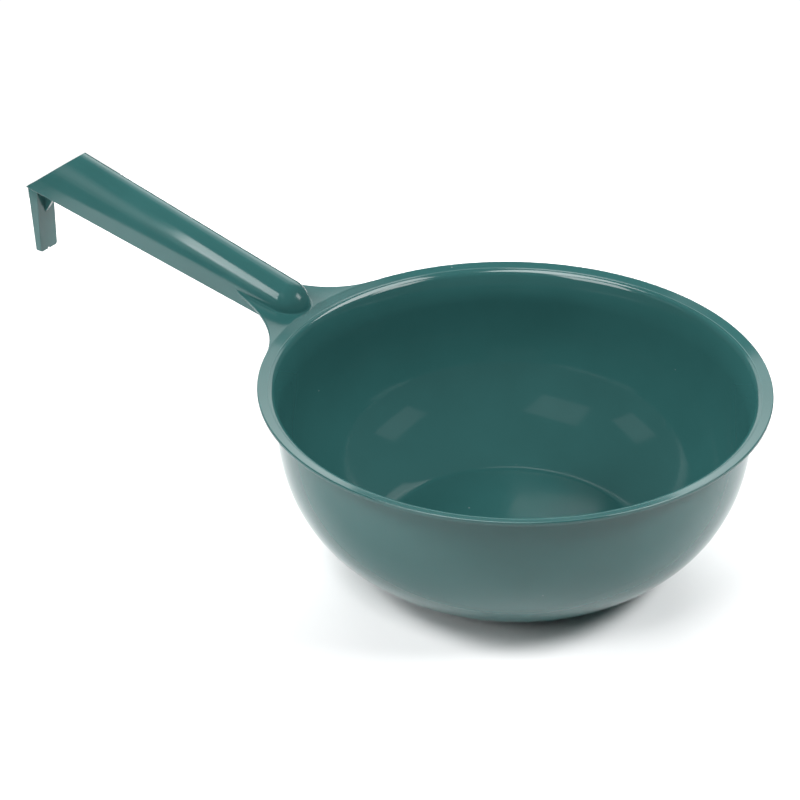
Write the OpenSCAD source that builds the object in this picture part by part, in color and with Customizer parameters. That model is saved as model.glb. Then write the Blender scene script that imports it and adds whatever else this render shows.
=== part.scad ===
// Hook-handled feed scoop: a round bowl with a flared lip, moulded in one shot with a hollow
// inverted-channel handle whose far end turns down into a hanging hook.
// The origin is the centre of the flat base. +Z is up and +X runs along the handle to the hook.

/* [Bowl] */
// Outer diameter across the lip
rim_d = 240; // [220:5:260]
// Height from the base to the top of the lip's outer edge
bowl_h = 89; // [80:1:100]
// Diameter of the flat base
base_d = 122; // [116:2:126]
// Wall thickness of the bowl
wall_t = 2; // [1.6:0.1:2.4]

/* [Lip] */
// Width of the flared ring outside the inner fillet
lip_w = 5.4; // [4.5:0.1:6.5]
// How far the flared ring climbs over its width
lip_rise = 1.5; // [0.6:0.1:1.8]
// Thickness of the lip and of the throat web
lip_t = 1.8; // [1.5:0.1:2]
// Radius of the fillet between the inside of the wall and the lip
lip_fillet_r = 6.9; // [6.5:0.1:7.5]

/* [Handle] */
// Distance from the bowl's axis to the end of the handle's skirts
reach = 287.4; // [270:0.2:300]
// Half width of the handle over the nose
half_w_nose = 10.8; // [10.6:0.1:11.6]
// Half width of the handle at the hook
half_w_end = 12; // [11.7:0.1:13]
// Height of the handle's crest above the rim, at the nose
crest_rise = 12.7; // [12:0.1:14]
// Slope of the crest in degrees
crest_slope = 14.5; // [14:0.1:15]
// Slope of the skirts' lower edges in degrees
skirt_slope = 11.3; // [11:0.1:12]
// Depth of the upright skirts below the arch
skirt_h = 7.6; // [7.2:0.1:9.6]
// Wall thickness of the handle
handle_t = 2; // [1.6:0.1:2.4]
// How squarely the arch is rounded, 2 for an ellipse
arch_power = 2.1; // [2:0.1:2.4]
// Forward lean of the end wall, in mm of length for each mm of height
bevel_run = 1.337; // [1.2:0.01:1.4]

/* [Hook] */
// Width of the hook's leg
leg_w = 12.8; // [11:0.1:14]
// Thickness of the leg where it leaves the handle
leg_t_top = 6.1; // [5.4:0.1:6.6]
// Thickness of the leg at its tip
leg_t_tip = 3.4; // [2.8:0.1:4]
// Length of the leg below the handle's skirts
leg_drop = 39.6; // [32:0.2:44]
// Thickness of the gusset between the leg and the handle
gusset_t = 2; // [1.6:0.1:2.4]
// How far the gusset runs down the leg below the skirts
gusset_drop = 18.2; // [12:0.2:22]
// How far the gusset climbs up the end wall above the skirts
gusset_climb = 16; // [10:1:17]

/* [Throat] */
// Radius of the concave outline that joins the lip to the handle
throat_r = 54; // [50:1:56]
// Upward slope of the web where it leaves the lip, in degrees
web_slope = 5.7; // [4:0.1:7]
// Radius to which the web curves upwards along the handle
web_curve_r = 234; // [225:1:250]

/* [Hidden] */

plastic = "#2d6460";
smooth = 180;

rim_r = rim_d / 2;
base_r = base_d / 2;
lip_angle = atan(lip_rise / lip_w);
lip_in_r = rim_r - lip_w;
lip_in_z = bowl_h - lip_rise;

// The wall's inner face meets the lip's fillet here
throat_in_r = lip_in_r - lip_fillet_r * (1 - sin(lip_angle));
wall_top_z = lip_in_z - lip_fillet_r * cos(lip_angle);
wall_top_r = throat_in_r + wall_t;

// The wall's outline is a superellipse: full over the foot and upright under the lip
wall_power_r = 1.366;
wall_power_z = 2.732;
wall_steps = 28;
lip_steps = 10;

// Where the handle's straight part starts, just outside the lip
nose_x = rim_r + half_w_nose;
arch_steps = 24;
web_fin_end = 156;

// Straight lines along the handle, each as a value at distance x from the bowl's axis
function half_w(x) = half_w_nose + (half_w_end - half_w_nose) * (x - nose_x) / (reach - nose_x);
function edge_z(x) = bowl_h - 6.2 + (x - nose_x) * tan(skirt_slope);
function spring_z(x) = edge_z(x) + skirt_h;
function crest_z(x) = bowl_h + crest_rise + (x - nose_x) * tan(crest_slope);

// A rounded power keeps the sign, so that one arch formula covers both halves
function signed_pow(v, p) = sign(v) * pow(abs(v), p);

// A point of the arch at angle a, from 0 on the left skirt to 180 on the right one
function arch_point(x, a, inset) = [
    (half_w(x) - inset) * signed_pow(cos(a), 2 / arch_power),
    spring_z(x) + (crest_z(x) - inset - spring_z(x)) * pow(sin(a), 2 / arch_power)
];

// The end plane cuts a line of height z(x) at this x
bevel_c = reach + bevel_run * edge_z(reach);
function cut_x(z0, z1, inset_x) =
    let (slope = (z1 - z0) / 100) (bevel_c - inset_x - bevel_run * z0) / (1 + bevel_run * slope);
function arch_cut_x(a, inset) =
    let (z0 = arch_point(0, a, inset)[1], z1 = arch_point(100, a, inset)[1]) cut_x(z0, z1, 0);

// The end wall's thickness is measured square to its own plane, and this is its run along x
end_thick_x = handle_t * sqrt(1 + bevel_run * bevel_run);

// The hook's leg hangs from the skirts' ends, with a small notch in its tip
leg_in_x = reach - 2.2;
leg_top_z = edge_z(reach);
leg_tip_z = leg_top_z - leg_drop;
notch_r = 0.8;
tip_round = 1.5;

// Outer and inner outlines of the bowl's wall, from the foot up
function wall_point(t, top_r, foot_z) = [
    base_r + (top_r - base_r) * pow(sin(t), 2 / wall_power_r),
    foot_z + (wall_top_z - foot_z) * (1 - pow(cos(t), 2 / wall_power_z))
];
function wall_line(top_r, foot_z) =
    [for (i = [0:wall_steps]) wall_point(90 * i / wall_steps, top_r, foot_z)];
function reversed(points) = [for (i = [len(points) - 1:-1:0]) points[i]];

// The lip's upper face: the fillet from the upright wall, then the flare
function fillet_line(r) = [
    for (i = [0:lip_steps])
        let (a = (90 - lip_angle) * i / lip_steps)
            [throat_in_r + lip_fillet_r - r * cos(a), wall_top_z + r * sin(a)]
];

module lip_outline() {
    under_fillet_r = lip_fillet_r - wall_t;
    lower = fillet_line(lip_fillet_r);
    upper = fillet_line(under_fillet_r);
    polygon(concat(
        lower,
        [[rim_r, bowl_h], [rim_r, bowl_h - lip_t]],
        reversed([for (p = upper) p[0] < rim_r - 0.5 ? p : [rim_r - 0.5, bowl_h - lip_t]])
    ));
}

// Everything inside the lip's and wall's outer faces, to cut neighbours to a butt joint
module bowl_envelope() {
    under = fillet_line(lip_fillet_r - wall_t);
    rotate_extrude($fn = smooth)
        polygon(concat(
            [[0, 0]],
            wall_line(wall_top_r, 0),
            under,
            [[rim_r, bowl_h - lip_t], [rim_r, bowl_h + 2], [0, bowl_h + 2]]
        ));
}

module bowl_base() {
    color(plastic) cylinder(r = base_r, h = wall_t, $fn = smooth);
}

module bowl_wall() {
    color(plastic)
        rotate_extrude($fn = smooth)
            polygon(concat(wall_line(wall_top_r, 0), reversed(wall_line(throat_in_r, wall_t))));
}

module rim_lip() {
    color(plastic) rotate_extrude($fn = smooth) lip_outline();
}

// The web's sheet curves up about a far axis that lies across the handle
web_axis_x = rim_r - web_curve_r * sin(web_slope);
web_axis_z = bowl_h + web_curve_r * cos(web_slope);
sheet_len = 140;
module web_cylinder(r) {
    translate([web_axis_x, 0, web_axis_z])
        rotate([90, 0, 0])
            cylinder(r = r, h = sheet_len, center = true, $fn = 720);
}

// The concave side arcs touch the rim's circle and the handle's side
side_y = half_w_nose + 0.4 + throat_r;
side_x = sqrt(pow(rim_r + throat_r, 2) - side_y * side_y);
touch = [side_x, side_y] * rim_r / (rim_r + throat_r);
module throat_plan() {
    difference() {
        polygon([
            [touch[0] - 4, -touch[1]], [touch[0], -touch[1]], [web_fin_end, -touch[1]],
            [web_fin_end, touch[1]], [touch[0], touch[1]], [touch[0] - 4, touch[1]]
        ]);
        for (side = [-1, 1]) translate([side_x, side * side_y]) circle(r = throat_r, $fn = 360);
        circle(r = rim_r, $fn = smooth);
        handle_footprint();
    }
}

// The handle's plan: a round nose, hollow where the web passes under it, and straight sides
module handle_footprint() {
    nose_in_r = half_w_nose - handle_t;
    circle_end = web_fin_end + 1;
    translate([nose_x, 0]) circle(r = nose_in_r, $fn = 120);
    polygon([
        [nose_x, -half_w(nose_x)], [circle_end, -half_w(circle_end)],
        [circle_end, half_w(circle_end)], [nose_x, half_w(nose_x)]
    ]);
}

module throat_web() {
    color(plastic)
        intersection() {
            difference() {
                web_cylinder(web_curve_r + lip_t);
                web_cylinder(web_curve_r);
            }
            translate([0, 0, bowl_h - 10]) linear_extrude(height = 30) throat_plan();
        }
}

// The skirts run on below the web as ribs, as far as the bowl's wall
module neck_rib(side) {
    rib_start = wall_top_r - 6;
    color(plastic)
        difference() {
            translate([0, side > 0 ? half_w_nose : handle_t - half_w_nose, 0])
                rotate([90, 0, 0])
                    linear_extrude(height = handle_t)
                        polygon([
                            [rib_start, edge_z(rib_start)], [nose_x, edge_z(nose_x)],
                            [nose_x, bowl_h + 1], [rib_start, bowl_h + 1]
                        ]);
            bowl_envelope();
            intersection() {
                translate([rim_r, -half_w_end, wall_top_z]) cube([2 * half_w_end, 2 * half_w_end, 20]);
                web_cylinder(web_curve_r + lip_t);
            }
        }
}
module neck_rib_left() neck_rib(1);
module neck_rib_right() neck_rib(-1);

// The nose is the arch's own section turned about its upright axis, standing on the web
module handle_nose() {
    half_arch = [for (i = [0:arch_steps / 2]) arch_point(nose_x, 180 * i / arch_steps, 0)];
    inner_arch = [for (i = [0:arch_steps / 2]) arch_point(nose_x, 180 * i / arch_steps, handle_t)];
    color(plastic)
        difference() {
            translate([nose_x, 0, 0])
                rotate([0, 0, 90])
                    rotate_extrude(angle = 180, $fn = smooth)
                        polygon(concat(
                            [[half_w_nose, bowl_h - 3]], half_arch,
                            reversed(inner_arch), [[half_w_nose - handle_t, bowl_h - 3]]
                        ));
            below_web_face();
        }
}

// All that lies below the web's upper face, as far along as the nose
module below_web_face() {
    difference() {
        translate([rim_r - 10, -20, bowl_h - 20]) cube([30, 40, 30]);
        web_cylinder(web_curve_r);
    }
}

// A solid between two rings of the same number of points
module between_rings(first, last) {
    n = len(first);
    sides = [for (i = [0:n - 1]) [i, (i + 1) % n, n + (i + 1) % n, n + i]];
    caps = [[for (i = [n - 1:-1:0]) i], [for (i = [0:n - 1]) n + i]];
    polyhedron(points = concat(first, last), faces = concat(sides, caps), convexity = 4);
}

// Two facing triangles for the four corners of a strip's cell
function cell(a, b, c, d) = [[a, b, c], [a, c, d]];
function flat(lists) = [for (l = lists) for (item = l) item];

// The arch between the nose and the end plane: four rows of points, joined by narrow cells
module handle_crown() {
    n = arch_steps + 1;
    function start_row(inset) = [
        for (i = [0:arch_steps])
            let (p = arch_point(nose_x, 180 * i / arch_steps, inset)) [nose_x, p[0], p[1]]
    ];
    function end_row(inset) = [
        for (i = [0:arch_steps])
            let (a = 180 * i / arch_steps, x = arch_cut_x(a, inset), p = arch_point(x, a, inset))
                [x, p[0], p[1]]
    ];
    points = concat(start_row(0), end_row(0), start_row(handle_t), end_row(handle_t));
    outer_start = 0;
    outer_end = n;
    inner_start = 2 * n;
    inner_end = 3 * n;
    strips = flat([
        for (i = [0:arch_steps - 1]) concat(
            cell(outer_start + i, outer_start + i + 1, outer_end + i + 1, outer_end + i),
            cell(inner_start + i, inner_end + i, inner_end + i + 1, inner_start + i + 1),
            cell(outer_start + i, inner_start + i, inner_start + i + 1, outer_start + i + 1),
            cell(outer_end + i, outer_end + i + 1, inner_end + i + 1, inner_end + i)
        )
    ]);
    foot_cells = concat(
        cell(outer_start, outer_end, inner_end, inner_start),
        cell(outer_start + n - 1, inner_start + n - 1, inner_end + n - 1, outer_end + n - 1)
    );
    color(plastic) polyhedron(points = points, faces = concat(strips, foot_cells), convexity = 4);
}

module skirt(side) {
    top_end_x = cut_x(spring_z(0), spring_z(100), 0);
    function corner(x, inset, z) = [x, side * (half_w(x) - inset), z];
    first = [
        corner(nose_x, handle_t, edge_z(nose_x)), corner(nose_x, 0, edge_z(nose_x)),
        corner(nose_x, 0, spring_z(nose_x)), corner(nose_x, handle_t, spring_z(nose_x))
    ];
    last = [
        corner(reach, handle_t, edge_z(reach)), corner(reach, 0, edge_z(reach)),
        corner(top_end_x, 0, spring_z(top_end_x)), corner(top_end_x, handle_t, spring_z(top_end_x))
    ];
    color(plastic)
        if (side > 0) between_rings(reversed(first), reversed(last));
        else between_rings(first, last);
}
module handle_skirt_left() skirt(1);
module handle_skirt_right() skirt(-1);

// The end wall fills the channel's inner outline, in a plane that leans towards the bowl
module handle_end_wall() {
    function arch_slice(inset_x) = [
        for (i = [0:arch_steps])
            let (
                a = 180 * i / arch_steps,
                x = cut_x(arch_point(0, a, handle_t)[1], arch_point(100, a, handle_t)[1], inset_x),
                p = arch_point(x, a, handle_t)
            ) [x, p[0], p[1]]
    ];
    foot_z = edge_z(reach);
    function foot(inset_x, side) = [reach - inset_x, side * (half_w(reach - inset_x) - handle_t), foot_z];
    outer = concat([foot(0, 1)], arch_slice(0), [foot(0, -1)]);
    inner = concat([foot(end_thick_x, 1)], arch_slice(end_thick_x), [foot(end_thick_x, -1)]);
    color(plastic) between_rings(inner, outer);
}

module hook_leg() {
    outer_top_z = leg_top_z - (leg_in_x + leg_t_top - reach) / bevel_run;
    color(plastic)
        difference() {
            translate([0, leg_w / 2, 0])
                rotate([90, 0, 0])
                    linear_extrude(height = leg_w)
                        polygon([
                            [leg_in_x, leg_tip_z], [leg_in_x + leg_t_tip, leg_tip_z],
                            [leg_in_x + leg_t_top, outer_top_z], [reach, leg_top_z], [leg_in_x, leg_top_z]
                        ]);
            translate([leg_in_x - 1, 0, leg_tip_z])
                rotate([0, 90, 0])
                    cylinder(r = notch_r, h = leg_t_top + 2, $fn = 32);
            for (side = [-1, 1]) leg_corner(side);
        }
}

// Takes the leg's lower corner down to a round of tip_round
module leg_corner(side) {
    mid_y = side * (leg_w / 2 - tip_round);
    mid_z = leg_tip_z + tip_round;
    translate([leg_in_x - 1, 0, 0])
        difference() {
            translate([0, side > 0 ? mid_y : mid_y - 2 * tip_round, mid_z - 2 * tip_round])
                cube([leg_t_top + 2, 2 * tip_round, 2 * tip_round]);
            translate([-1, mid_y, mid_z])
                rotate([0, 90, 0])
                    cylinder(r = tip_round, h = leg_t_top + 4, $fn = 48);
        }
}

// The gusset braces the leg against the end wall's inner face, along the channel's middle
module hook_gusset() {
    top_z = leg_top_z + gusset_climb;
    color(plastic)
        translate([0, gusset_t / 2, 0])
            rotate([90, 0, 0])
                linear_extrude(height = gusset_t)
                    polygon([
                        [leg_in_x, leg_top_z - gusset_drop], [leg_in_x, leg_top_z],
                        [reach - end_thick_x, leg_top_z], [bevel_c - end_thick_x - bevel_run * top_z, top_z]
                    ]);
}

bowl_base();
bowl_wall();
rim_lip();
throat_web();
neck_rib_left();
neck_rib_right();
handle_nose();
handle_crown();
handle_skirt_left();
handle_skirt_right();
handle_end_wall();
hook_leg();
hook_gusset();
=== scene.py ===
"""Looks of the hook-handled feed scoop: a glossy teal moulding on a round table in a tent."""
import math

import bmesh
import bpy
from mathutils import Matrix, Vector


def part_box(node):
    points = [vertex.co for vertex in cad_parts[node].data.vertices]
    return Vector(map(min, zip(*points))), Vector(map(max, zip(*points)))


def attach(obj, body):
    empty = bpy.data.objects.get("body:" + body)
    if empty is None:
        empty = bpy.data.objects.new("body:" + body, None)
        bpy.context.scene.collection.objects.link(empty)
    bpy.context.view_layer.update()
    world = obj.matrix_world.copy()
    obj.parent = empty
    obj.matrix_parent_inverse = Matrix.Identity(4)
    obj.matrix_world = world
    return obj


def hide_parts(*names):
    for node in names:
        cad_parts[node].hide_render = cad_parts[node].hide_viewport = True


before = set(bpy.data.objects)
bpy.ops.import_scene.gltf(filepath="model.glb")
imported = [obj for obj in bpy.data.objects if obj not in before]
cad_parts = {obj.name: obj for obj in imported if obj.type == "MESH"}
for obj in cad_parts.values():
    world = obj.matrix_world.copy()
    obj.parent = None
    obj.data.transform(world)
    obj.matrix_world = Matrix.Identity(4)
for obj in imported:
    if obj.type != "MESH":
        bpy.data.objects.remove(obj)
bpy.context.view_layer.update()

# Driving sizes in mm, in the row frame. The ones that a CAD node shows are read from it.
MM = 0.001
lip_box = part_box("rim_lip")
RIM_R = lip_box[1].x / MM
BOWL_H = lip_box[1].z / MM
BASE_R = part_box("bowl_base")[1].x / MM
WALL_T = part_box("bowl_base")[1].z / MM
LIP_W = 5.4
LIP_RISE = 1.5
LIP_T = 1.8
LIP_FILLET_R = 6.9
REACH = 287.4
HALF_W_NOSE = 10.8
HALF_W_END = 12.0
CREST_RISE = 12.7
CREST_SLOPE = math.tan(math.radians(14.5))
SKIRT_SLOPE = math.tan(math.radians(11.3))
SKIRT_DROP = 6.2
SKIRT_H = 7.6
HANDLE_T = 2.0
ARCH_POWER = 2.1
BEVEL_RUN = 1.337
LEG_W = 12.8
LEG_T_TOP = 6.1
LEG_T_TIP = 3.4
LEG_DROP = 39.6
GUSSET_T = 2.0
GUSSET_DROP = 18.2
GUSSET_CLIMB = 16.0
THROAT_R = 54.0
WEB_SLOPE = 0.1
WEB_CURVE = 0.26
EDGE_R = 0.5

LIP_ANGLE = math.atan(LIP_RISE / LIP_W)
LIP_IN_R = RIM_R - LIP_W
LIP_IN_Z = BOWL_H - LIP_RISE
THROAT_IN_R = LIP_IN_R - LIP_FILLET_R * (1 - math.sin(LIP_ANGLE))
WALL_TOP_Z = LIP_IN_Z - LIP_FILLET_R * math.cos(LIP_ANGLE)
SHOULDER_R = 4.0
SHOULDER_TURN = math.radians(22)
THROAT_BEND_R = 36.0
RIDGE_H = 0.08
RIDGE_W = 0.8
WALL_POWER_R = 1.366
WALL_POWER_Z = 2.732
NOSE_X = RIM_R + HALF_W_NOSE
UP = Vector((0, 0, 1))


def half_w(x):
    return HALF_W_NOSE + (HALF_W_END - HALF_W_NOSE) * (x - NOSE_X) / (REACH - NOSE_X)


def edge_z(x):
    return BOWL_H - SKIRT_DROP + (x - NOSE_X) * SKIRT_SLOPE


def spring_z(x):
    return edge_z(x) + SKIRT_H


def crest_z(x):
    return BOWL_H + CREST_RISE + (x - NOSE_X) * CREST_SLOPE


BEVEL_C = REACH + BEVEL_RUN * edge_z(REACH)
BEVEL_N = Vector((1, 0, BEVEL_RUN)).normalized()
END_THICK_X = HANDLE_T * math.hypot(1, BEVEL_RUN)


def steps(first, last, count):
    return [first + (last - first) * i / count for i in range(count + 1)]


def rounded(corner, n1, n2, radius, count=4):
    """Points and normals round a convex corner between two faces, from the first to the second."""
    n1, n2 = n1.normalized(), n2.normalized()
    centre = corner - (n1 + n2) * (radius / (1 + n1.dot(n2)))
    found = []
    for k in range(count + 1):
        n = n1.slerp(n2, k / count).normalized() if n1.dot(n2) < 0.9999 else n1
        found.append((centre + n * radius, n))
    return found


# ---------------------------------------------------------------- mesh making
class Moulding:
    """A closed mesh in mm whose smooth faces carry the true normals of their surface."""

    def __init__(self):
        self.points = []
        self.place = {}
        self.faces = []
        self.normals = []

    def vertex(self, p):
        key = (round(p[0], 4), round(p[1], 4), round(p[2], 4))
        if key not in self.place:
            self.place[key] = len(self.points)
            self.points.append(Vector(p))
        return self.place[key]

    def face(self, corners):
        """corners are (point, normal) pairs; a face with a missing normal is flat."""
        ring, seen = [], set()
        for p, n in corners:
            v = self.vertex(p)
            if v not in seen:
                seen.add(v)
                ring.append((v, n))
        if len(ring) < 3:
            return
        self.faces.append([v for v, n in ring])
        smooth = all(n is not None for v, n in ring)
        self.normals.append({v: n for v, n in ring} if smooth else None)

    def grid(self, rows):
        for low, high in zip(rows, rows[1:]):
            for j in range(len(low) - 1):
                self.face([low[j], high[j], high[j + 1], low[j + 1]])

    def loft(self, rings, wrap=False):
        """rings are lists of runs of (point, normal). Flat strips join one run to the next."""
        pairs = list(zip(rings, rings[1:]))
        if wrap:
            pairs.append((rings[-1], rings[0]))
        for a, b in pairs:
            for run_a, run_b in zip(a, b):
                self.grid([run_a, run_b])
            for k in range(len(a)):
                m = (k + 1) % len(a)
                self.face([
                    (a[k][-1][0], None), (b[k][-1][0], None), (b[m][0][0], None), (a[m][0][0], None)
                ])

    def cap(self, ring):
        self.face([(p, None) for run in ring for p, n in run])

    def add(self, name, node, paint):
        """Makes the object, in metres, and lets it stand for its CAD node."""
        mesh = bpy.data.meshes.new(name)
        mesh.from_pydata([p * MM for p in self.points], [], self.faces)
        form = bmesh.new()
        form.from_mesh(mesh)
        bmesh.ops.recalc_face_normals(form, faces=form.faces)
        form.to_mesh(mesh)
        form.free()
        corner_normals = []
        for poly in mesh.polygons:
            known = self.normals[poly.index]
            poly.use_smooth = known is not None
            for loop in poly.loop_indices:
                n = poly.normal if known is None else known[mesh.loops[loop].vertex_index]
                n = n if n.dot(poly.normal) > 0 else -n
                corner_normals.append(n)
        mesh.normals_split_custom_set(corner_normals)
        return finish_piece(bpy.data.objects.new(name, mesh), node, paint)


def finish_piece(piece, node, paint):
    bpy.context.scene.collection.objects.link(piece)
    piece.data.materials.clear()
    piece.data.materials.append(paint)
    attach(piece, "root")
    if node:
        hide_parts(node)
    return piece


# ---------------------------------------------------------------- bowl
def wall_point(t, top, foot_z):
    """top is the (radius, height) at which the wall stands upright, t = pi / 2."""
    return Vector((
        BASE_R + (top[0] - BASE_R) * math.sin(t) ** (2 / WALL_POWER_R), 0,
        foot_z + (top[1] - foot_z) * (1 - math.cos(t) ** (2 / WALL_POWER_Z)),
    ))


def wall_run(top, foot_z, side, count=64):
    """The wall's outline from the foot up, with normals on the given side of it."""
    found = []
    quarter = math.pi / 2
    for t in steps(0, quarter, count):
        low = wall_point(max(0, t - 1e-3), top, foot_z)
        high = wall_point(min(quarter, t + 1e-3), top, foot_z)
        along = (high - low).normalized()
        found.append((wall_point(t, top, foot_z), Vector((along.z, 0, -along.x)) * side))
    return found


def spun(section, segments):
    """The rings of a section turned about the bowl's axis."""
    rings = []
    for k in range(segments):
        turn = Matrix.Rotation(2 * math.pi * k / segments, 3, "Z")
        rings.append([[(turn @ p, n and turn @ n) for p, n in run] for run in section])
    return rings


def bend_run(centre, radius, first, last, side, count):
    """An arc about a centre at the right of the sheet; angles are those of its normals."""
    found = []
    for a in steps(first, last, count):
        n = Vector((-math.cos(a), 0, math.sin(a)))
        found.append((centre + n * radius, n * side))
    return found


def throat_runs():
    """The inside from the upright wall up to the flare: an easy bend, then a tight shoulder."""
    steep = math.pi / 2 - LIP_ANGLE
    flare_end = Vector((LIP_IN_R, 0, LIP_IN_Z))
    shoulder_c = flare_end - Vector((-math.cos(steep), 0, math.sin(steep))) * SHOULDER_R
    joint = Vector((-math.cos(SHOULDER_TURN), 0, math.sin(SHOULDER_TURN)))
    bend_c = shoulder_c + joint * (SHOULDER_R - THROAT_BEND_R)
    run = bend_run(bend_c, THROAT_BEND_R, 0, SHOULDER_TURN, 1, 10)
    run += bend_run(shoulder_c, SHOULDER_R, SHOULDER_TURN, steep, 1, 14)[1:]
    return run


def ridge_run():
    """The flare from its inner end outwards, with the low ridge that the mould leaves there."""
    along = Vector((math.cos(LIP_ANGLE), 0, math.sin(LIP_ANGLE)))
    up = Vector((-math.sin(LIP_ANGLE), 0, math.cos(LIP_ANGLE)))
    start = Vector((LIP_IN_R, 0, LIP_IN_Z))
    found = []
    for t in steps(0, 1, 12)[1:]:
        turn = 2 * math.pi * t
        rise = RIDGE_H / 2 * (1 - math.cos(turn))
        slope = RIDGE_H * math.pi / RIDGE_W * math.sin(turn)
        p = start + along * (RIDGE_W * t) + up * rise
        found.append((p, (up - along * slope).normalized()))
    return found


def make_bowl_base(paint):
    """The flat floor, with the small sunk ring and stub of the mould's gate under it."""
    gate_r, gate_d, stub_r = 5.0, 0.5, 1.1
    under = [(Vector((0, 0, 0.35)), -UP), (Vector((stub_r - 0.3, 0, 0.35)), -UP)]
    under += rounded(Vector((stub_r, 0, gate_d - 0.3)), -UP, Vector((1, 0, 0)), 0.2)
    foot = [(Vector((stub_r + 0.1, 0, gate_d)), -UP), (Vector((gate_r - 0.2, 0, gate_d)), -UP)]
    slope = [(Vector((gate_r, 0, gate_d)), None), (Vector((gate_r + gate_d, 0, 0)), None)]
    flat = [(Vector((r, 0, 0)), -UP) for r in steps(gate_r + gate_d, BASE_R, 8)]
    top = [(Vector((r, 0, WALL_T)), UP) for r in steps(BASE_R, 0, 10)]
    form = Moulding()
    form.loft(spun([under, foot, slope, flat, top], 192), wrap=True)
    return form.add("bowl_base_moulding", "bowl_base", paint)


def make_bowl_wall(paint):
    throat = throat_runs()[0][0]
    outer = wall_run((THROAT_IN_R + WALL_T, WALL_TOP_Z), 0, 1)
    inner = wall_run((throat.x, throat.z), WALL_T, -1)
    form = Moulding()
    form.loft(spun([outer, inner[::-1]], 360), wrap=True)
    return form.add("bowl_wall_moulding", "bowl_wall", paint)


def make_rim_lip(paint):
    """The throat, the flare, its square edge with worn corners, and the underside."""
    under_slope = Vector((0.264, 0, -0.965))
    out = Vector((1, 0, 0))
    flare_n = Vector((-math.sin(LIP_ANGLE), 0, math.cos(LIP_ANGLE)))
    run = throat_runs() + ridge_run()
    run += rounded(Vector((RIM_R, 0, BOWL_H)), flare_n, out, EDGE_R)
    run += rounded(Vector((RIM_R, 0, BOWL_H - LIP_T)), out, under_slope, EDGE_R)
    bend_c = Vector((THROAT_IN_R + LIP_FILLET_R, 0, WALL_TOP_Z))
    under_bend = bend_run(bend_c, LIP_FILLET_R - WALL_T, 0, math.pi / 2 - LIP_ANGLE, -1, 20)
    form = Moulding()
    form.loft(spun([run + under_bend[::-1]], 720), wrap=True)
    return form.add("rim_lip_moulding", "rim_lip", paint)


# ---------------------------------------------------------------- handle
def arch_level(p, inset):
    """1 on the handle's outer face, or on the inner one with an inset; it grows outwards."""
    x, w = p[0], half_w(p[0]) - inset
    across = math.hypot(min(0, x - NOSE_X), p[1]) / w
    low = spring_z(x)
    up = max(0, p[2] - low) / (crest_z(x) - inset - low)
    return across ** ARCH_POWER + up ** ARCH_POWER


def arch_normal(p, inset):
    h = 0.01
    found = []
    for axis in range(3):
        step = Vector((0, 0, 0))
        step[axis] = h
        found.append(arch_level(p + step, inset) - arch_level(p - step, inset))
    return Vector(found).normalized()


def signed_pow(v, p):
    return math.copysign(abs(v) ** p, v)


def arch_point(x, a, inset):
    rise = max(0, math.sin(a)) ** (2 / ARCH_POWER)
    return Vector((
        x, (half_w(x) - inset) * signed_pow(math.cos(a), 2 / ARCH_POWER),
        spring_z(x) + (crest_z(x) - inset - spring_z(x)) * rise,
    ))


def on_bevel(point_at):
    """The point of a straight line along the handle that lies on the end plane."""
    a, b = point_at(0), point_at(100)
    t = (BEVEL_C - a.x - BEVEL_RUN * a.z) / (b.x - a.x + BEVEL_RUN * (b.z - a.z))
    return a + (b - a) * t


def arch_line(a, inset):
    return lambda x: arch_point(x, a, inset)


def along_handle(line, inset, side, stations):
    """One lengthwise line of the handle as (point, normal), from the nose to the end plane."""
    first, last = line(NOSE_X), on_bevel(line)
    found = []
    for t in steps(0, 1, stations):
        p = first.lerp(last, t)
        found.append((p, arch_normal(p, inset) * side))
    return found


ARCH_STEPS = 64
STATIONS = 48


def turned(lines):
    """Lists of stations instead of lists of lines."""
    return [list(row) for row in zip(*lines)]


def end_round(lines, count=3):
    """Rounds each line off onto the end plane."""
    rows = []
    arcs = [rounded(line[-1][0], line[-1][1], BEVEL_N, EDGE_R, count) for line in lines]
    for k in range(count + 1):
        rows.append([arc[k] for arc in arcs])
    return rows


def handle_shell(name, node, outer_lines, inner_lines, paint):
    """A strip of the channel between its outer and inner lines, rounded onto the end plane."""
    outer, inner = turned(outer_lines)[:-1], turned(inner_lines)
    ends = end_round(outer_lines)
    rows = outer + ends
    backs = inner[:-1] + [inner[-1]] * len(ends)
    rings = [[row, back[::-1]] for row, back in zip(rows, backs)]
    form = Moulding()
    form.loft(rings)
    form.cap(rings[0])
    form.cap(rings[-1])
    return form.add(name, node, paint)


def make_handle_crown(paint):
    angles = steps(0, math.pi, ARCH_STEPS)
    outer = [along_handle(arch_line(a, 0), 0, 1, STATIONS) for a in angles]
    inner = [along_handle(arch_line(a, HANDLE_T), HANDLE_T, -1, STATIONS) for a in angles]
    return handle_shell("handle_crown_moulding", "handle_crown", outer, inner, paint)


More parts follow.
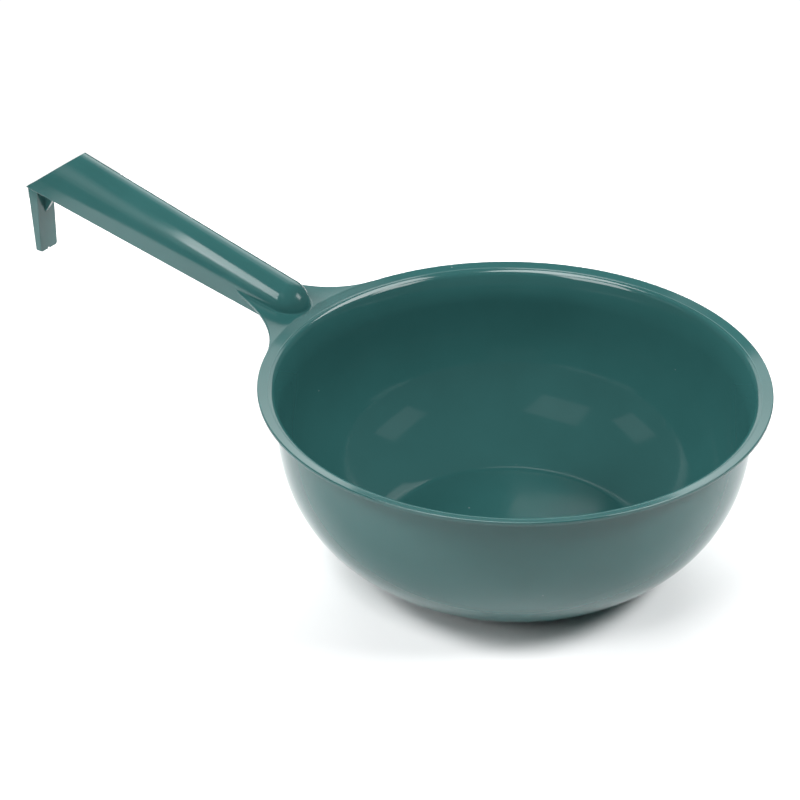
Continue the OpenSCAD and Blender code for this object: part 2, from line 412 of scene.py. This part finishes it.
def make_skirt(name, node, side, paint):
    """An upright strip from the spring down to the rounded lower edge."""
    out = Vector((0, side, 0))
    down = Vector((math.sin(math.atan(SKIRT_SLOPE)), 0, -math.cos(math.atan(SKIRT_SLOPE))))

    def line(inset, depth):
        return lambda x: Vector((x, side * (half_w(x) - inset), spring_z(x) - depth))

    depths = steps(0, SKIRT_H - EDGE_R, 6)
    outer = [along_handle(line(0, d), 0, 1, STATIONS) for d in depths]
    inner = [along_handle(line(HANDLE_T, d), HANDLE_T, -1, STATIONS) for d in depths]
    foot = []
    for k in range(1, 5):
        foot.append([])
        for t in steps(0, 1, STATIONS):
            corner_line = line(0, SKIRT_H)
            p = corner_line(NOSE_X).lerp(on_bevel(corner_line), t)
            foot[-1].append(rounded(p, out, down, EDGE_R)[k])
    for k in range(4):
        foot.append([])
        for t in steps(0, 1, STATIONS):
            corner_line = line(HANDLE_T, SKIRT_H)
            p = corner_line(NOSE_X).lerp(on_bevel(corner_line), t)
            foot[-1].append(rounded(p, down, -out, EDGE_R)[k])
    lines = outer + foot + inner[::-1]
    rows = turned(lines)
    rings = [[row] for row in rows]
    form = Moulding()
    form.loft(rings)
    form.cap(rings[0])
    form.cap(rings[-1])
    return form.add(name, node, paint)


def make_handle_nose(paint):
    """The arch carried round a half turn, its crest still falling towards the bowl."""
    def meridian(turn, inset, side):
        found = []
        w = HALF_W_NOSE - inset
        foot = web_z(NOSE_X - w * math.sin(turn), w * math.cos(turn)) - LIP_T + 0.1
        heights = [None] + steps(0, math.pi / 2, ARCH_STEPS // 2)
        for a in heights:
            r = w * (1 if a is None else max(0, math.cos(a)) ** (2 / ARCH_POWER))
            x, y = NOSE_X - r * math.sin(turn), r * math.cos(turn)
            z = foot
            if a is not None:
                low = spring_z(x)
                z = low + (crest_z(x) - inset - low) * math.sin(a) ** (2 / ARCH_POWER)
            p = Vector((x, y, z))
            n = Vector((-math.sin(turn), math.cos(turn), 0))
            if a is not None and a > 0:
                n = arch_normal(p, inset)
            found.append((p, n * side))
        return found

    rings = []
    for turn in steps(0, math.pi, 64):
        rings.append([meridian(turn, 0, 1), meridian(turn, HANDLE_T, -1)[::-1]])
    form = Moulding()
    form.loft(rings)
    form.cap(rings[0])
    form.cap(rings[-1])
    return form.add("handle_nose_moulding", "handle_nose", paint)


def make_handle_end_wall(paint):
    """The slanted plate that closes the channel, flush with the crown's end."""
    def outline(shift):
        found = []
        for a in steps(0, math.pi, ARCH_STEPS):
            p = on_bevel(arch_line(a, HANDLE_T))
            found.append(p - Vector((shift, 0, 0)))
        foot = edge_z(REACH) + EDGE_R
        for side in (-1, 1):
            found.append(Vector((
                BEVEL_C - BEVEL_RUN * foot - shift, side * (half_w(REACH) - HANDLE_T), foot
            )))
        return found

    form = Moulding()
    outer, inner = outline(0), outline(END_THICK_X)
    form.face([(p, None) for p in outer])
    form.face([(p, None) for p in inner])
    for k in range(len(outer)):
        m = (k + 1) % len(outer)
        form.face([(p, None) for p in (outer[k], outer[m], inner[m], inner[k])])
    return form.add("handle_end_wall_moulding", "handle_end_wall", paint)


# ---------------------------------------------------------------- throat
def web_z(x, y):
    """The height of the upper face over the lip's flare and the web beyond it."""
    out = math.hypot(x, y) - RIM_R
    if out < 0:
        return BOWL_H + out * math.tan(LIP_ANGLE)
    return BOWL_H + WEB_SLOPE * out + WEB_CURVE * out * out / RIM_R


def web_normal(x, y):
    h = 0.05
    return Vector((
        web_z(x - h, y) - web_z(x + h, y), web_z(x, y - h) - web_z(x, y + h), 2 * h
    )).normalized()


SIDE_Y = HALF_W_NOSE + 0.4 + THROAT_R
SIDE_X = math.sqrt((RIM_R + THROAT_R) ** 2 - SIDE_Y ** 2)
TOUCH_TURN = math.atan2(SIDE_Y, SIDE_X)
LAP = 1.0
FIN_END = 158.0
FIN_TAPER = 9.0


def throat_edge(s):
    """The concave outline from the rim, s = 0, to where the fin sinks into the skirt, s = 1."""
    first = TOUCH_TURN + math.pi + 0.02
    last = 1.5 * math.pi - math.asin((SIDE_X - FIN_END) / THROAT_R)
    a = first + (last - first) * s
    x = SIDE_X + THROAT_R * math.cos(a)
    y = SIDE_Y + THROAT_R * math.sin(a)
    t = min(1, max(0, (x - FIN_END + FIN_TAPER) / FIN_TAPER))
    y -= 0.9 * t * t * (3 - 2 * t)
    return Vector((x, y, 0)), -Vector((math.cos(a), math.sin(a), 0))


def throat_root(s):
    """The inner outline: round under the lip, under the nose, and along the handle's side."""
    bridge, round_end = 0.5, 0.72
    hidden = 1.2
    if s < bridge:
        a = TOUCH_TURN * (1 - s / bridge)
        r = RIM_R - LAP
        return Vector((r * math.cos(a), r * math.sin(a), 0))
    r = HALF_W_NOSE - hidden
    if s < round_end:
        a = math.pi / 2 * (s - bridge) / (round_end - bridge)
        return Vector((NOSE_X - r * math.cos(a), r * math.sin(a), 0))
    x = NOSE_X + (FIN_END - NOSE_X) * (s - round_end) / (1 - round_end)
    return Vector((x, half_w(x) - hidden, 0))


def make_throat_web(paint):
    """The flared sheet between the lip and the handle, with worn edges, in two mirrored halves."""
    form = Moulding()
    across = 18
    for side in (1, -1):
        rings = []
        for s in steps(0, 1, 96):
            (edge, away), root = throat_edge(s), throat_root(s)
            top = []
            edge_p = Vector((edge.x, edge.y, web_z(edge.x, edge.y)))
            edge_n = web_normal(edge.x, edge.y)
            arc = rounded(edge_p, edge_n, away, EDGE_R)
            start = arc[0][0]
            for t in steps(0, 1, across)[:-1]:
                p = root.lerp(Vector((start.x, start.y, 0)), t)
                lift = 0.02 * max(0, 1 - t * across)
                top.append((Vector((p.x, p.y, web_z(p.x, p.y) + lift)), web_normal(p.x, p.y)))
            top += arc
            low_p = edge_p - Vector((0, 0, LIP_T))
            low_arc = rounded(low_p, away, -edge_n, EDGE_R)
            under = low_arc[:-1]
            end = low_arc[-1][0]
            for t in steps(0, 1, across):
                p = Vector((end.x, end.y, 0)).lerp(root, t)
                n = web_normal(p.x, p.y)
                under.append((Vector((p.x, p.y, web_z(p.x, p.y) - LIP_T)), -n))
            run = [
                (Vector((p.x, side * p.y, p.z)), Vector((n.x, side * n.y, n.z)))
                for p, n in top + under
            ]
            rings.append([run])
        form.loft(rings)
        form.cap(rings[0])
        form.cap(rings[-1])
    return form.add("throat_web_moulding", "throat_web", paint)


# ---------------------------------------------------------------- plates
def bevelled_plate(name, node, outline, thick, centre_y, radius, paint, count=3):
    """An outline in the x-z plane with a thickness along y and rounded edges."""
    form = bmesh.new()
    front = [form.verts.new(Vector((x, centre_y - thick / 2, z)) * MM) for x, z in outline]
    back = [form.verts.new(Vector((x, centre_y + thick / 2, z)) * MM) for x, z in outline]
    form.faces.new(front)
    form.faces.new(back)
    for k in range(len(outline)):
        m = (k + 1) % len(outline)
        form.faces.new([front[k], front[m], back[m], back[k]])
    bmesh.ops.recalc_face_normals(form, faces=form.faces)
    mesh = bpy.data.meshes.new(name)
    form.to_mesh(mesh)
    form.free()
    for poly in mesh.polygons:
        poly.use_smooth = True
    piece = finish_piece(bpy.data.objects.new(name, mesh), node, paint)
    bevel = piece.modifiers.new("rounded_edges", "BEVEL")
    bevel.width = radius * MM
    bevel.segments = count
    bevel.limit_method = "ANGLE"
    bevel.angle_limit = math.radians(25)
    bevel.harden_normals = True
    return piece


def make_neck_rib(name, node, side, paint):
    """The skirt carried on under the web as far as the bowl's wall."""
    wall_r = THROAT_IN_R + WALL_T
    y = HALF_W_NOSE - HANDLE_T / 2
    start = math.sqrt((wall_r - 0.6) ** 2 - y * y)
    low_r = wall_r - 1.2

    def top(x):
        return web_z(x, y) - LIP_T / 2

    outline = [(low_r, edge_z(low_r)), (NOSE_X, edge_z(NOSE_X)), (NOSE_X, top(NOSE_X))]
    outline += [(RIM_R, BOWL_H - LIP_T / 2), (start + 3.4, BOWL_H - 3.2), (start + 0.6, WALL_TOP_Z + 1)]
    return bevelled_plate(name, node, outline, HANDLE_T - 0.02, side * y, 0.35, paint)


def make_hook(leg_paint):
    """The leg: a tapered slab whose tip has round corners and a small notch."""
    inner_x = REACH - 2.2
    top_z = edge_z(REACH) + 1.2
    tip_z = edge_z(REACH) - LEG_DROP
    outer_z = edge_z(REACH) - (inner_x + LEG_T_TOP - REACH) / BEVEL_RUN
    notch_r, tip_r = 0.8, 1.5
    half = LEG_W / 2

    outline = [(-half, top_z), (-half, outer_z)]
    for a in steps(math.pi, 1.5 * math.pi, 6):
        outline.append((-half + tip_r + tip_r * math.cos(a), tip_z + tip_r + tip_r * math.sin(a)))
    for a in steps(math.pi, 0, 8):
        outline.append((notch_r * math.cos(a), tip_z + notch_r * math.sin(a)))
    for a in steps(1.5 * math.pi, 2 * math.pi, 6):
        outline.append((half - tip_r + tip_r * math.cos(a), tip_z + tip_r + tip_r * math.sin(a)))
    outline += [(half, outer_z), (half, top_z)]

    def outer_x(z):
        if z > outer_z:
            return BEVEL_C - BEVEL_RUN * z
        thick = LEG_T_TIP + (LEG_T_TOP - LEG_T_TIP) * (z - tip_z) / (outer_z - tip_z)
        return inner_x + thick

    form = bmesh.new()
    front = [form.verts.new(Vector((inner_x, y, z)) * MM) for y, z in outline]
    back = [form.verts.new(Vector((outer_x(z), y, z)) * MM) for y, z in outline]
    form.faces.new(front)
    low = [v for v, (y, z) in zip(back, outline) if z < outer_z + 1e-6]
    form.faces.new(low)
    form.faces.new([back[0], back[1], back[-2], back[-1]])
    for k in range(len(outline)):
        m = (k + 1) % len(outline)
        form.faces.new([front[k], front[m], back[m], back[k]])
    bmesh.ops.recalc_face_normals(form, faces=form.faces)
    mesh = bpy.data.meshes.new("hook_leg_moulding")
    form.to_mesh(mesh)
    form.free()
    for poly in mesh.polygons:
        poly.use_smooth = True
    piece = finish_piece(bpy.data.objects.new("hook_leg_moulding", mesh), "hook_leg", leg_paint)
    bevel = piece.modifiers.new("rounded_edges", "BEVEL")
    bevel.width = 0.6 * MM
    bevel.segments = 4
    bevel.limit_method = "ANGLE"
    bevel.angle_limit = math.radians(35)
    bevel.harden_normals = True
    return piece


def make_hook_gusset(paint):
    inner_x = REACH - 2.2
    top_z = edge_z(REACH)
    high = top_z + GUSSET_CLIMB
    inside = 0.6
    tip = top_z - GUSSET_DROP
    outline = [
        (inner_x + inside, tip), (inner_x, tip),
        (BEVEL_C - END_THICK_X - BEVEL_RUN * high, high),
        (BEVEL_C - END_THICK_X - BEVEL_RUN * high + inside, high),
        (REACH - END_THICK_X + inside, top_z), (inner_x + inside, top_z),
    ]
    return bevelled_plate("hook_gusset_moulding", "hook_gusset", outline, GUSSET_T, 0, 0.25, paint)


def make_nose_fillet(paint):
    """The small cove where the nose and the crown's sides stand on the web and the lip."""
    cove, inside = 1.0, 0.6
    form = Moulding()

    def foot_of(t):
        """A point of the handle's plan and the direction away from it; t runs from 0 to 2."""
        u = t if t <= 1 else 2 - t
        side = 1 if t <= 1 else -1
        straight = 0.55
        if u < straight:
            x = FIN_END - 2 + (NOSE_X - FIN_END + 2) * u / straight
            return Vector((x, side * half_w(x), 0)), Vector((0, side, 0))
        a = math.pi / 2 * (u - straight) / (1 - straight)
        away = Vector((-math.sin(a), side * math.cos(a), 0))
        return Vector((NOSE_X, 0, 0)) + away * HALF_W_NOSE, away

    def ledge(x):
        a = SIDE_Y - math.sqrt(max(0, THROAT_R ** 2 - (x - SIDE_X) ** 2))
        return max(0.05, a - half_w(x) - 0.9 * max(0, (x - FIN_END + FIN_TAPER) / FIN_TAPER))

    rings = []
    for t in steps(0, 2, 160):
        p, away = foot_of(t)
        r = min(cove, 0.7 * ledge(p.x)) if p.x > NOSE_X else cove
        z = web_z(p.x, p.y)
        far = p + away * r
        z_far = web_z(far.x, far.y)
        arc = []
        for a in steps(0, math.pi / 2, 6):
            q = far - away * (r * math.cos(a))
            base = z + (z_far - z) * (1 - math.cos(a))
            arc.append((
                Vector((q.x, q.y, base + r * (1 - math.sin(a)) + 0.01)),
                away * math.cos(a) + UP * math.sin(a),
            ))
        back = p - away * inside
        hidden = [
            (Vector((far.x, far.y, z_far - inside)), None),
            (Vector((back.x, back.y, z - inside)), None),
            (Vector((back.x, back.y, z + r)), None),
        ]
        rings.append([arc, hidden])
    form.loft(rings)
    form.cap(rings[0])
    form.cap(rings[-1])
    return form.add("nose_fillet", None, paint)


# ---------------------------------------------------------------- materials
TEAL = (0.0255, 0.101, 0.099, 1)
TEAL_DARK = (0.023, 0.092, 0.090, 1)
DUST = (0.42, 0.47, 0.45, 1)


def plastic(name, wave, wave_scale, speck=0.5, rough=0.09):
    """Glossy dyed polypropylene: faint clouding, moulding waviness, fine grain and dust specks."""
    paint = bpy.data.materials.new(name)
    paint.use_nodes = True
    nodes, links = paint.node_tree.nodes, paint.node_tree.links
    shader = nodes["Principled BSDF"]
    shader.inputs["IOR"].default_value = 1.5
    shader.inputs["Coat Weight"].default_value = 0.0
    coords = nodes.new("ShaderNodeTexCoord")

    def noise(scale, detail):
        made = nodes.new("ShaderNodeTexNoise")
        made.inputs["Scale"].default_value = scale
        made.inputs["Detail"].default_value = detail
        links.new(coords.outputs["Object"], made.inputs["Vector"])
        return made.outputs["Fac"]

    def remap(value, low, high, to_low, to_high):
        made = nodes.new("ShaderNodeMapRange")
        made.inputs["From Min"].default_value = low
        made.inputs["From Max"].default_value = high
        made.inputs["To Min"].default_value = to_low
        made.inputs["To Max"].default_value = to_high
        links.new(value, made.inputs["Value"])
        return made.outputs["Result"]

    def mixed(factor, a, b):
        made = nodes.new("ShaderNodeMix")
        made.data_type = "RGBA"
        links.new(factor, made.inputs["Factor"])
        for slot, value in (("A", a), ("B", b)):
            socket = [s for s in made.inputs if s.name == slot and s.type == "RGBA"][0]
            if isinstance(value, tuple):
                socket.default_value = value
            else:
                links.new(value, socket)
        return [s for s in made.outputs if s.type == "RGBA"][0]

    clouds = remap(noise(22, 3), 0.35, 0.65, 0, 1)
    colour = mixed(clouds, TEAL_DARK, TEAL)
    cells = nodes.new("ShaderNodeTexVoronoi")
    cells.inputs["Scale"].default_value = 130
    links.new(coords.outputs["Object"], cells.inputs["Vector"])
    spots = remap(cells.outputs["Distance"], 0.03, 0.06, 1, 0)
    rare = remap(noise(45, 2), 0.66, 0.70, 0, speck)
    both = nodes.new("ShaderNodeMath")
    both.operation = "MULTIPLY"
    links.new(spots, both.inputs[0])
    links.new(rare, both.inputs[1])
    colour = mixed(both.outputs[0], colour, DUST)
    links.new(colour, shader.inputs["Base Color"])
    links.new(remap(noise(60, 4), 0.3, 0.7, rough - 0.03, rough + 0.04), shader.inputs["Roughness"])

    waves = nodes.new("ShaderNodeBump")
    waves.inputs["Strength"].default_value = 1
    waves.inputs["Distance"].default_value = wave
    links.new(noise(wave_scale, 2), waves.inputs["Height"])
    grain = nodes.new("ShaderNodeBump")
    grain.inputs["Strength"].default_value = 1
    grain.inputs["Distance"].default_value = 0.000003
    links.new(noise(1400, 2), grain.inputs["Height"])
    links.new(waves.outputs["Normal"], grain.inputs["Normal"])
    links.new(grain.outputs["Normal"], shader.inputs["Normal"])
    return paint


def studio_white():
    paint = bpy.data.materials.new("studio_white")
    paint.use_nodes = True
    shader = paint.node_tree.nodes["Principled BSDF"]
    shader.inputs["Base Color"].default_value = (0.93, 0.93, 0.935, 1)
    shader.inputs["Roughness"].default_value = 0.9
    shader.inputs["Specular IOR Level"].default_value = 0.1
    return paint


# ---------------------------------------------------------------- the object
bowl_paint = plastic("plastic_bowl", wave=0.00002, wave_scale=14)
handle_paint = plastic("plastic_handle", wave=0.00006, wave_scale=60, rough=0.15)

base = make_bowl_base(bowl_paint)
make_bowl_wall(bowl_paint)
lip = make_rim_lip(bowl_paint)
make_throat_web(handle_paint)
nose = make_handle_nose(handle_paint)
crown = make_handle_crown(handle_paint)
make_skirt("handle_skirt_left_moulding", "handle_skirt_left", 1, handle_paint)
make_skirt("handle_skirt_right_moulding", "handle_skirt_right", -1, handle_paint)
make_handle_end_wall(handle_paint)
make_neck_rib("neck_rib_left_moulding", "neck_rib_left", 1, handle_paint)
make_neck_rib("neck_rib_right_moulding", "neck_rib_right", -1, handle_paint)
make_hook(handle_paint)
make_hook_gusset(handle_paint)
make_nose_fillet(handle_paint)

# ---------------------------------------------------------------- studio
# Directions are given round the rim's centre, from the camera's own heading
CAMERA_AZIMUTH = 214.5
CAMERA_ELEVATION = 30.72
CAMERA_RANGE = 10.87 * RIM_R * MM
FRAME_RIGHT = 0.445 * RIM_R * MM
FRAME_DOWN = 0.072 * RIM_R * MM
LENS = 126
FLOOR_R = 0.46
# The patch on the bowl's floor, from the middle: to the camera's right, and away from it
PATCH_RIGHT = 0.0218
PATCH_AWAY = 0.0273
rim_centre = Vector((0, 0, BOWL_H * MM))


def direction(azimuth, elevation):
    """The way to the camera is azimuth 0; positive azimuths turn to the camera's right."""
    a = math.radians(CAMERA_AZIMUTH + azimuth)
    e = math.radians(elevation)
    return Vector((math.sin(a) * math.cos(e), -math.cos(a) * math.cos(e), math.sin(e)))


camera_away = direction(180, 0)
camera_right = direction(90, 0)


def make_camera():
    data = bpy.data.cameras.new("camera")
    data.lens = LENS
    data.sensor_width = 36
    camera = bpy.data.objects.new("camera", data)
    bpy.context.scene.collection.objects.link(camera)
    back = direction(0, CAMERA_ELEVATION)
    right = UP.cross(back).normalized()
    up = back.cross(right)
    camera.location = rim_centre + back * CAMERA_RANGE - right * FRAME_RIGHT - up * FRAME_DOWN
    camera.rotation_euler = Matrix((right, up, back)).transposed().to_euler()
    bpy.context.scene.camera = camera


def make_floor():
    """A round pale table; past its edge, gloss near the horizon meets only the dim tent."""
    form = bmesh.new()
    bmesh.ops.create_circle(form, cap_ends=True, segments=96, radius=FLOOR_R)
    mesh = bpy.data.meshes.new("studio_floor")
    form.to_mesh(mesh)
    form.free()
    floor = bpy.data.objects.new("studio_floor", mesh)
    floor.location.z = -0.0002
    floor.data.materials.append(studio_white())
    bpy.context.scene.collection.objects.link(floor)


def softbox(
        name, azimuth, elevation, width, height, lit=0, mirrored=0, only=(), around=rim_centre,
        distance=1.4, through=False):
    """Rectangular lights that face a point from a direction.

    lit is the radiance that falls on matt surfaces and mirrored is what gloss shows of the box.
    With a list of pieces, only those show it, and with through nothing else hides it from them.
    """
    away = direction(azimuth, elevation)
    for kind, radiance in (("lit", lit), ("mirrored", mirrored)):
        if not radiance:
            continue
        data = bpy.data.lights.new(name + "_" + kind, "AREA")
        data.shape = "RECTANGLE"
        data.size = width
        data.size_y = height
        data.energy = radiance * math.pi * width * height
        # With this off no ray runs into the lamp. A lit box then can't hide its mirrored twin,
        # and a through lamp is reached only by sampling, which its blocker list lets past.
        data.cycles.use_multiple_importance_sampling = kind == "mirrored" and not through
        lamp = bpy.data.objects.new(data.name, data)
        bpy.context.scene.collection.objects.link(lamp)
        lamp.location = around + away * distance
        lamp.rotation_euler = away.to_track_quat("Z", "Y").to_euler()
        lamp.visible_camera = False
        lamp.visible_diffuse = kind == "lit"
        lamp.visible_glossy = kind == "mirrored"
        if only:
            shown = bpy.data.collections.new(name + "_shown_by")
            for piece in only:
                shown.objects.link(piece)
            lamp.light_linking.receiver_collection = shown
            if through:
                lamp.light_linking.blocker_collection = shown


def make_world(seen, fill, mirrored):
    """A tent of light round the table: bright to the camera, dim in glossy plastic."""
    world = bpy.data.worlds.new("studio")
    world.use_nodes = True
    nodes, links = world.node_tree.nodes, world.node_tree.links
    path = nodes.new("ShaderNodeLightPath")
    shown = nodes["Background"]
    shown.inputs["Strength"].default_value = fill
    for strength, ray in ((seen, "Is Camera Ray"), (mirrored, "Is Glossy Ray")):
        other = nodes.new("ShaderNodeBackground")
        other.inputs["Color"].default_value = (1, 1, 1, 1)
        other.inputs["Strength"].default_value = strength
        choice = nodes.new("ShaderNodeMixShader")
        links.new(path.outputs[ray], choice.inputs["Fac"])
        links.new(shown.outputs[0], choice.inputs[1])
        links.new(other.outputs["Background"], choice.inputs[2])
        shown = choice
    nodes["Background"].inputs["Color"].default_value = (1, 1, 1, 1)
    links.new(shown.outputs["Shader"], nodes["World Output"].inputs["Surface"])
    bpy.context.scene.world = world


make_camera()
make_floor()
make_world(1.05, 0.05, 0.12)
softbox("box_right", 80, 42, 0.62, 0.34, lit=27.5, mirrored=0.4)
softbox("box_left", -87, 38, 0.48, 0.36, lit=20.5, mirrored=0.4)
softbox("box_front", -38, 55, 0.60, 0.50, lit=9, mirrored=0.4)
softbox("fill_left", -60, 25, 0.90, 0.35, lit=6)
softbox("back_low", 180, 22, 1.40, 0.50, lit=13.8)
softbox("strip_right", 106, 55, 0.90, 0.80, mirrored=8, only=(lip,))
softbox("strip_right_low", 64, 38, 0.50, 0.60, mirrored=7, only=(lip,))
softbox("strip_left", -72, 80, 0.95, 0.70, mirrored=9, only=(lip,))
softbox("strip_left_low", -46, 40, 0.70, 0.80, mirrored=7, only=(lip,))
softbox("backdrop", 178, 22, 1.45, 0.80, mirrored=1.7, distance=1.6)
softbox("backdrop_top", 168, 44, 0.80, 0.35, mirrored=0.8, distance=1.6)
handle_front = Vector((0.158, 0.008, 0.109))
handle_back = Vector((0.215, 0, 0.118))
softbox(
    "handle_key", -56, 36, 0.066, 0.095, mirrored=6.5, only=(crown, nose),
    around=handle_front, distance=0.155)
softbox(
    "handle_haze", -57, 20, 0.16, 0.13, mirrored=0.55, only=(crown,),
    around=handle_back, distance=0.19)
softbox(
    "handle_haze_core", -57, 20, 0.13, 0.06, mirrored=0.5, only=(crown,),
    around=handle_back, distance=0.18)
nose_front = Vector((0.123, 0.002, 0.097))
softbox(
    "nose_spot", 88, 32, 0.15, 0.15, mirrored=5, only=(nose,), around=nose_front, distance=0.5)
floor_middle = Vector((0, 0, WALL_T * MM))
base_spot = floor_middle + camera_right * PATCH_RIGHT + camera_away * PATCH_AWAY
softbox(
    "base_patch", 176, 33.2, 0.060, 0.018, mirrored=0.75, only=(base,), around=base_spot,
    distance=0.5, through=True)
bpy.context.scene.view_settings.view_transform = "Standard"
